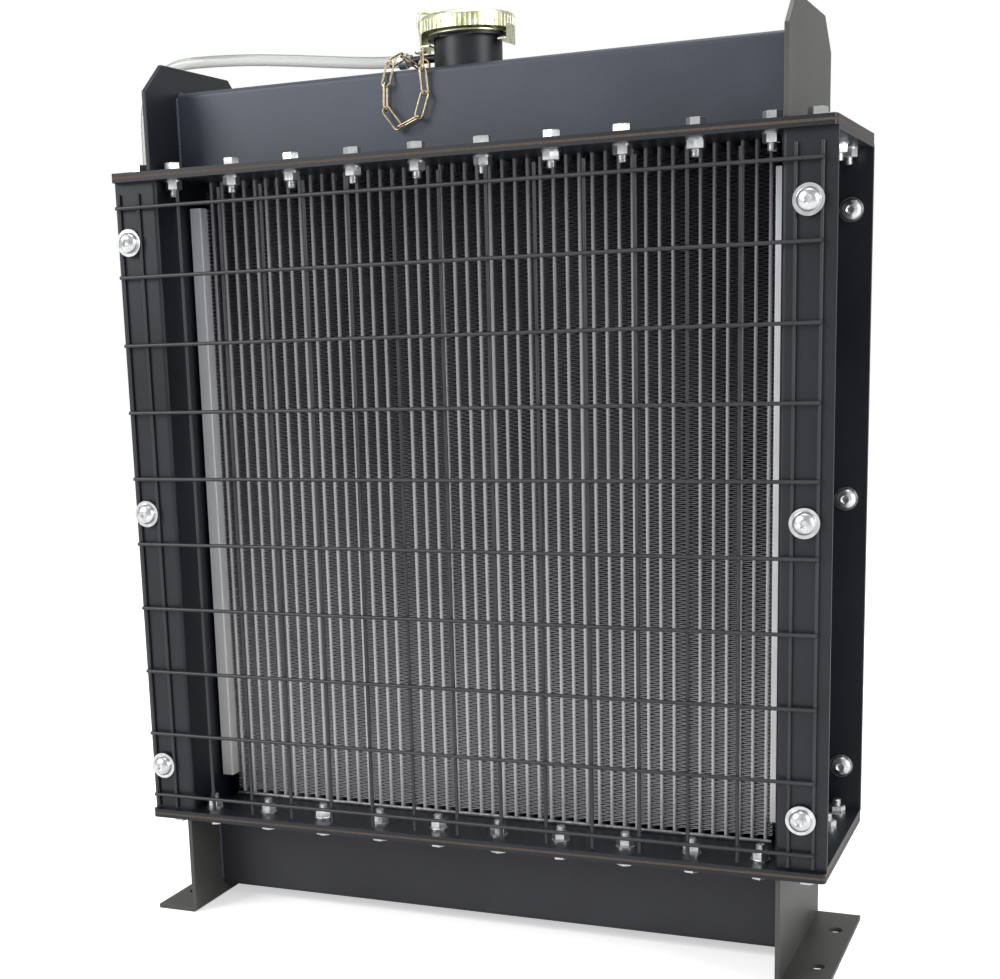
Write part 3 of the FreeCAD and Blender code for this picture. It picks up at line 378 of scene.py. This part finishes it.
for node_name, material, width_mm in (
        ("top_tank_shell", tank_paint, 0.8), ("bottom_tank_shell", low_tank_paint, 0.8),
        ("top_tank_flange", frame_paint, 0.5), ("bottom_tank_flange", frame_paint, 0.5),
        ("top_end_plate_left", frame_paint, 0.8), ("top_end_plate_right", painted_light_plate_paint, 0.8),
        ("foot_bracket_left", painted_light_plate_paint, 0.8), ("foot_bracket_right", painted_light_plate_paint, 0.8),
        ("side_channel_left", frame_paint, 0.6), ("side_channel_right", frame_paint, 0.6),
        ("fan_shroud", frame_paint, 0.5), ("shroud_ring", frame_paint, 0.4),
        ("inlet_pipe", frame_paint, 0.4), ("outlet_pipe", frame_paint, 0.4)):
    softened(node_name, material, width_mm)
for node_name in ("core_side_plate_left", "core_side_plate_right"):
    softened(node_name, side_metal, 0.3)

# %% [markdown]
# The fins are one thin strip per gap, folded up and down like a concertina between two rows of
# tubes. A flat zigzag line is drawn for each gap and extruded front to back, and a Solidify
# modifier gives the sheet its thickness. Four groups keep each mesh small.

# %% Folded fin strips
TUBE_PITCH, TUBE_WIDTH, TUBE_COLUMNS = 11.25, 3.0, 46
FIN_PITCH, FIN_NOSE, FIN_SHEET = 1.7, 0.35, 0.20
fin_low, fin_high = (Vector(corner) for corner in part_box("fin_strips"))
fin_low.z -= 9 * MM
fin_high.z += 9 * MM
columns = [(k - (TUBE_COLUMNS - 1) / 2) * TUBE_PITCH for k in range(TUBE_COLUMNS)]
fin_gaps = [(fin_low.x / MM, columns[0] - TUBE_WIDTH / 2)]
fin_gaps += [(a + TUBE_WIDTH / 2, b - TUBE_WIDTH / 2) for a, b in zip(columns, columns[1:])]
fin_gaps += [(columns[-1] + TUBE_WIDTH / 2, fin_high.x / MM)]


def folded_strip(bm, x0, x1):
    """Add one concertina strip between two tube walls."""
    inset = FIN_SHEET * 0.6
    levels = int((fin_high.z - fin_low.z) / MM / FIN_PITCH)
    verts = []
    for k in range(levels):
        z = fin_low.z / MM + (k + 0.5) * FIN_PITCH
        x = x0 + inset if k % 2 == 0 else x1 - inset
        for dz in (-FIN_NOSE, FIN_NOSE):
            verts.append(bm.verts.new(Vector((x, fin_low.y / MM, z + dz)) * MM))
    edges = [bm.edges.new(pair) for pair in zip(verts, verts[1:])]
    made = bmesh.ops.extrude_edge_only(bm, edges=edges)["geom"]
    moved = [g for g in made if isinstance(g, bmesh.types.BMVert)]
    bmesh.ops.translate(bm, verts=moved, vec=(0, fin_high.y - fin_low.y, 0))


fin_groups = []
for group in range(4):
    bm = bmesh.new()
    for x0, x1 in fin_gaps[group * 12:(group + 1) * 12]:
        folded_strip(bm, x0, x1)
    strips = piece("folded_fins_" + str(group + 1), bm, fin_metal, "frame")
    sheet = strips.modifiers.new("sheet", "SOLIDIFY")
    sheet.thickness = FIN_SHEET * MM
    sheet.offset = 0
    fin_groups.append(strips)
for strips in fin_groups:
    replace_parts(strips, "fin_strips")
print("fin folds per strip:", int((fin_high.z - fin_low.z) / MM / FIN_PITCH))

# %% [markdown]
# Every screw on the frame is an M8. A hexagon with a small bevel makes the head or
# the nut, a spun disc makes its flange, and stacked grooves make the thread that shows past the nut.
# One small mesh of each kind is copied to all its places.

# %% Screw, nut and thread shapes
HEX, HEAD_HIGH, NUT_HIGH, THREAD_SHOWN = 13.0, 7.4, 6.5, 6.5
BOLT, THREAD = 4.0, 1.25


def hexagon(bm, across, height, chamfer=0.9):
    """A hexagon prism standing on the origin, with its top edges broken."""
    made = bmesh.ops.create_circle(bm, cap_ends=True, segments=6, radius=across / math.sqrt(3) * MM)
    base = list({f for v in made["verts"] for f in v.link_faces})
    grown = bmesh.ops.extrude_face_region(bm, geom=base)["geom"]
    top = [g for g in grown if isinstance(g, bmesh.types.BMVert)]
    bmesh.ops.translate(bm, verts=top, vec=(0, 0, height * MM))
    rim = [e for e in bm.edges if e.verts[0] in top and e.verts[1] in top]
    bmesh.ops.bevel(bm, geom=rim, offset=chamfer * MM, segments=2, profile=0.5, affect="EDGES", material=-1)


def spun(bm, profile, steps=20):
    """Turn a (radius, height) line about the Z axis."""
    verts = [bm.verts.new((r * MM, 0, z * MM)) for r, z in profile]
    edges = [bm.edges.new(pair) for pair in zip(verts, verts[1:])]
    bmesh.ops.spin(bm, geom=verts + edges, cent=(0, 0, 0), axis=(0, 0, 1), angle=math.tau,
                   steps=steps, use_merge=True, use_duplicate=False)


def thread(bm, start, length, steps=14):
    """The grooved end of a screw, rising from start."""
    profile = [(BOLT - 0.1, start)]
    z = start
    while z + THREAD < start + length:
        profile += [(BOLT, z + 0.15), (BOLT, z + 0.35), (BOLT - 0.62, z + 0.85), (BOLT - 0.62, z + 1.0)]
        z += THREAD
    profile += [(BOLT - 0.5, start + length - 0.3), (BOLT - 1.1, start + length), (0.0, start + length)]
    spun(bm, profile, steps)


def scattered(name, make, places, material, body="frame"):
    """Copy one small shape to many places, each a matrix, as one mesh."""
    source = bmesh.new()
    make(source)
    bmesh.ops.remove_doubles(source, verts=source.verts, dist=1e-7)
    bmesh.ops.recalc_face_normals(source, faces=source.faces)
    mesh = bpy.data.meshes.new(name + "_one")
    source.to_mesh(mesh)
    source.free()
    bm = bmesh.new()
    for place in places:
        before = len(bm.verts)
        bm.from_mesh(mesh)
        bm.verts.ensure_lookup_table()
        bmesh.ops.transform(bm, matrix=place, verts=bm.verts[before:])
    bpy.data.meshes.remove(mesh)
    obj = piece(name, bm, material, body, 35)
    return obj


def at(x, y, z, way="up", spin_degrees=0.0):
    """A place whose Z axis points one way, turned about itself."""
    turns = {"up": Matrix.Identity(4), "down": Matrix.Rotation(math.pi, 4, "X"),
             "front": Matrix.Rotation(math.pi / 2, 4, "X"), "back": Matrix.Rotation(-math.pi / 2, 4, "X")}
    return (Matrix.Translation(Vector((x, y, z)) * MM) @ turns[way]
            @ Matrix.Rotation(math.radians(spin_degrees), 4, "Z"))


# %% [markdown]
# Flange bolts. Their heads sit outside on the tank flanges and their nuts inside on the header
# plates, so both ends show from the front. Each one is turned a little differently, as a
# fitter leaves them.

# %% Flange bolts and nuts
random.seed(7)
FRAME_FRONT, FRAME_BACK, HALF_FLANGE, WEB_OUT = -114.9, 69.1, 315.0, 276.0
EDGE_INSET, SIDE_INSET, SIDE_STEP = 22.0, 18.0, 140 / 3
FLANGE_WASHER, CHANNEL_SHEET = 1.6, 3.0


def flange_places(pitch):
    """The bolt places of one flange, as in the source of the part."""
    places = []
    for y in (FRAME_FRONT + EDGE_INSET, FRAME_BACK - EDGE_INSET):
        places += [((k - 4.5) * pitch, y) for k in range(10)]
    for side in (-1, 1):
        x = side * (HALF_FLANGE - SIDE_INSET)
        places += [(x, FRAME_FRONT + EDGE_INSET + k * SIDE_STEP) for k in range(4)]
    return places


def bolt_head(bm):
    """A hexagon head on its round flange."""
    hexagon(bm, HEX, HEAD_HIGH)
    spun(bm, [(0.0, 0.0), (9.0, 0.0), (9.0, 0.7), (8.2, 1.3), (6.0, 1.5), (0.0, 1.5)], 24)


def nut_with_end(bm):
    """A nut with the end of its screw standing out."""
    hexagon(bm, HEX, NUT_HIGH)
    thread(bm, NUT_HIGH - 0.5, THREAD_SHOWN)


for end, pitch, head_z, nut_z in (("top", 58.5, 685.0, 677.0), ("bottom", 57.5, 93.0, 101.0)):
    out, back_in = ("up", "down") if end == "top" else ("down", "up")
    step = -1 if end == "top" else 1
    heads, nuts = [], []
    for x, y in flange_places(pitch):
        tab = CHANNEL_SHEET if abs(x) > WEB_OUT else 0.0
        heads.append(at(x, y, head_z, out, random.uniform(0, 60)))
        nuts.append(at(x, y, nut_z + step * (tab + FLANGE_WASHER), back_in, random.uniform(0, 60)))
    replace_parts(scattered(end + "_bolt_heads", bolt_head, heads, bright_zinc),
                end + "_flange_bolts")
    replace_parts(scattered(end + "_nuts_and_ends", nut_with_end, nuts, bright_zinc),
                end + "_flange_nuts")

# %% [markdown]
# The guard and the shroud are held by domed screws over large washers. A dome with a
# socket in its middle is spun from a short profile.

# %% Guard and shroud screws
CHANNEL_FRONT, CHANNEL_BACK = -107.9, 67.1
GUARD_LEVELS = [655.0 - down for down in (30.0, 272.0, 511.0)]


def domed_head(bm):
    """A domed head with a small socket."""
    spun(bm, [(0.0, 3.4), (2.3, 3.6), (2.6, 4.9), (3.6, 5.75), (5.6, 5.2), (7.6, 3.9), (8.9, 2.2), (9.5, 0.4),
              (9.3, 0.0), (0.0, 0.0)], 28)


GUARD_SHIFT, SCREW_SPAN = -3.5, 298.0
WIRE_THICKNESS, BIG_WASHER, SHROUD_SHEET = 3.2, 2.0, 2.0


def screw_row(shift, y, way):
    """The six places of one pair of upright screw rows, each turned by chance."""
    return [at(shift + s * SCREW_SPAN, y, z, way, random.uniform(0, 60)) for s in (-1, 1) for z in GUARD_LEVELS]


guard_heads = screw_row(GUARD_SHIFT, CHANNEL_FRONT - WIRE_THICKNESS - BIG_WASHER, "front")
guard_ends = screw_row(GUARD_SHIFT, CHANNEL_FRONT + CHANNEL_SHEET, "back")
shroud_heads = screw_row(0.0, CHANNEL_BACK - CHANNEL_SHEET - FLANGE_WASHER, "front")
shroud_ends = screw_row(0.0, CHANNEL_BACK + SHROUD_SHEET + FLANGE_WASHER, "back")
for name, make, places, node_name in (
        ("guard_screw_heads", domed_head, guard_heads, "guard_bolts"),
        ("guard_nuts_and_ends", nut_with_end, guard_ends, "guard_nuts"),
        ("shroud_screw_heads", domed_head, shroud_heads, "shroud_bolts"),
        ("shroud_nuts_and_ends", nut_with_end, shroud_ends, "shroud_nuts")):
    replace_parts(scattered(name, make, places, bright_zinc), node_name)

# %% [markdown]
# Where two guard wires cross, a resistance welder has pressed and melted them together. A small
# flattened blob at each crossing shows that.

# %% Guard welds
GUARD_TOP, ROW_PITCH, ROWS, COLUMN_PITCH, HALF_GUARD = 655.0, 60.0, 10, 41.1, 307.5
level_y = CHANNEL_FRONT - 1.5 * WIRE_THICKNESS
weld_x = [GUARD_SHIFT + k * COLUMN_PITCH for k in range(-7, 8)]
weld_x += [GUARD_SHIFT - HALF_GUARD, GUARD_SHIFT + HALF_GUARD]
weld_places = [at(x, level_y + WIRE_THICKNESS / 2, GUARD_TOP - row * ROW_PITCH, "up", random.uniform(0, 90))
               for x in weld_x for row in range(ROWS)]


def weld_blob(bm):
    """A small blob, pressed a little flat."""
    bmesh.ops.create_icosphere(bm, subdivisions=2, radius=2.1 * MM)
    bmesh.ops.scale(bm, verts=bm.verts, vec=(1.0, 0.9, 1.0))


scattered("guard_weld_blobs", weld_blob, weld_places, wire_paint)
print("guard welds:", len(weld_places))

# %% [markdown]
# Weld and solder beads run along every joint of the tanks. A bead is a row of overlapping scales: a
# ring is swept along the seam, and it swells and shrinks every few millimetres.

# %% Weld beads


def swept(rings):
    """A closed skin through rings, each a radius and a matrix."""
    bm = bmesh.new()
    before = None
    for k, (radius, place) in enumerate(rings):
        ring = bmesh.ops.create_circle(bm, cap_ends=k in (0, len(rings) - 1), segments=8, radius=radius,
                                       matrix=place)["verts"]
        edges = list({e for v in ring for e in v.link_edges if e.other_vert(v) in ring})
        if before:
            bmesh.ops.bridge_loops(bm, edges=before + edges)
        before = edges
    mesh = bpy.data.meshes.new("swept_part")
    bm.to_mesh(mesh)
    bm.free()
    return mesh


def bead(bm, start, stop, radius_mm, pitch_mm=3.2):
    """Add one weld bead between two points, with its scales."""
    start, stop = Vector(start) * MM, Vector(stop) * MM
    turn = (stop - start).to_track_quat("Z", "Y").to_matrix().to_4x4()
    count = max(6, int((stop - start).length / (pitch_mm * MM) * 3))
    rings = []
    for k in range(count + 1):
        swell = radius_mm * (0.86 + 0.14 * math.cos(k * math.tau / 3))
        if k in (0, count):
            swell *= 0.4
        rings.append((swell * MM, Matrix.Translation(start.lerp(stop, k / count)) @ turn))
    mesh = swept(rings)
    bm.from_mesh(mesh)
    bpy.data.meshes.remove(mesh)


TANK_FRONT, TANK_BACK, TANK_HALF = -59.9, 14.1, 275.0
bm = bmesh.new()
for side in (-1, 1):
    x = side * TANK_HALF
    bead(bm, (x, TANK_FRONT, 688), (x, TANK_FRONT, 751), 1.8)
    bead(bm, (x, TANK_BACK, 688), (x, TANK_BACK, 751), 1.8)
    bead(bm, (x, TANK_FRONT + 5, 755), (x, TANK_BACK - 5, 755), 1.8)
    bead(bm, (x, TANK_FRONT, 16), (x, TANK_FRONT, 90), 1.8)
    bead(bm, (x, TANK_BACK, 16), (x, TANK_BACK, 90), 1.8)
    bead(bm, (x, TANK_FRONT + 5, 12), (x, TANK_BACK - 5, 12), 1.8)
    bead(bm, (side * 279, TANK_FRONT - 20, 685), (side * 279, TANK_BACK + 20, 685), 2.0)
for y in (TANK_FRONT, TANK_BACK):
    bead(bm, (-272, y, 685), (272, y, 685), 1.7)
    bead(bm, (-272, y, 93), (272, y, 93), 1.7)
piece("tank_weld_beads", bm, tank_paint, "frame", 60)
print("weld beads made")

# %% [markdown]
# Where the tubes enter the header plates, solder has run along the foot of the core and left a bright,
# slightly lumpy lip. It shows as a light line just above the bottom nuts.

# %% Solder lips along the core
CORE_FRONT, CORE_BACK, CORE_HALF = -46.9, 1.1, 258.75


def solder_lip(bm, y, z, height):
    """A low wavy bar of solder, wide along X."""
    steps = 90
    rings = []
    for k in range(steps + 1):
        x = -CORE_HALF + 2 * CORE_HALF * k / steps
        lump = 1 + 0.35 * noise.noise(Vector((x * 0.09, y * 0.1, z * 0.01)))
        place = Matrix.Translation(Vector((x, y, z)) * MM) @ Matrix.Rotation(math.pi / 2, 4, "Y")
        rings.append((0.5 * MM, place @ Matrix.Diagonal((height * lump, 2.2 * lump, 1, 1))))
    mesh = swept(rings)
    bm.from_mesh(mesh)
    bpy.data.meshes.remove(mesh)


bm = bmesh.new()
for y in (CORE_FRONT - 1.0, CORE_BACK + 1.0):
    solder_lip(bm, y, 102.6, 4.5)
piece("solder_lips", bm, tinned_solder, "frame", 60)

# %% [markdown]
# The floor and the light are a plain studio: a pale floor, a white surround, one large soft
# lamp high on the left, a weaker one on the right and one above. The lamps keep a mid
# grey close to the value it is written with.

# %% Floor, lamps and surround
floor_bm = bmesh.new()
bmesh.ops.create_grid(floor_bm, x_segments=1, y_segments=1, size=30)
floor_mesh = bpy.data.meshes.new("studio_floor")
floor_bm.to_mesh(floor_mesh)
floor_bm.free()
floor = bpy.data.objects.new("studio_floor", floor_mesh)
bpy.context.scene.collection.objects.link(floor)
floor_paint, floor_tree, floor_shader = new_material("pale_floor")
floor_shader.inputs["Base Color"].default_value = linear("#f4f4f4")
floor_shader.inputs["Roughness"].default_value = 0.9
floor_shader.inputs["Specular IOR Level"].default_value = 0.1
path = add(floor_tree, "LightPath")
glow = add(floor_tree, "Emission", {"Color": linear("#ffffff"), "Strength": 0.52})
dark = add(floor_tree, "Emission", {"Color": linear("#000000"), "Strength": 0.0})
seen = add(floor_tree, "MixShader", Fac=path.outputs["Is Camera Ray"])
floor_tree.links.new(dark.outputs[0], seen.inputs[1])
floor_tree.links.new(glow.outputs[0], seen.inputs[2])
both = add(floor_tree, "AddShader")
floor_tree.links.new(floor_shader.outputs[0], both.inputs[0])
floor_tree.links.new(seen.outputs[0], both.inputs[1])
floor_tree.links.new(both.outputs[0], floor_tree.nodes["Material Output"].inputs["Surface"])
floor_mesh.materials.append(floor_paint)


def soft_lamp(name, place, target, size, power):
    """A square area lamp that looks at a target."""
    data = bpy.data.lights.new(name, "AREA")
    data.shape = "SQUARE"
    data.size = size
    data.energy = power
    lamp = bpy.data.objects.new(name, data)
    bpy.context.scene.collection.objects.link(lamp)
    lamp.location = place
    lamp.rotation_mode = "QUATERNION"
    lamp.rotation_quaternion = (Vector(target) - Vector(place)).to_track_quat("-Z", "Y")
    return lamp


soft_lamp("key_lamp", (-2.2, -2.6, 2.2), (0, 0, 0.4), 1.8, 95)
soft_lamp("side_lamp", (2.8, -0.8, 1.2), (0, 0, 0.45), 1.4, 40)
soft_lamp("top_lamp", (0.2, 0.3, 3.2), (0, 0, 0.4), 2.0, 45)

world = bpy.data.worlds.new("white_surround")
bpy.context.scene.world = world
world.use_nodes = True
sky = world.node_tree
background = sky.nodes["Background"]
background.inputs["Color"].default_value = linear("#ffffff")
background.inputs["Strength"].default_value = 0.55
rays = add(sky, "LightPath")
shown = add(sky, "Math", {"operation": "MAXIMUM"}, i0=rays.outputs["Is Camera Ray"],
            i1=rays.outputs["Is Transmission Ray"])
white = add(sky, "Background", {"Color": linear("#ffffff"), "Strength": 1.0})
mix = add(sky, "MixShader", Fac=shown.outputs[0])
sky.links.new(background.outputs[0], mix.inputs[1])
sky.links.new(white.outputs[0], mix.inputs[2])
sky.links.new(mix.outputs[0], sky.nodes["World Output"].inputs["Surface"])
bpy.context.scene.view_settings.view_transform = "Standard"
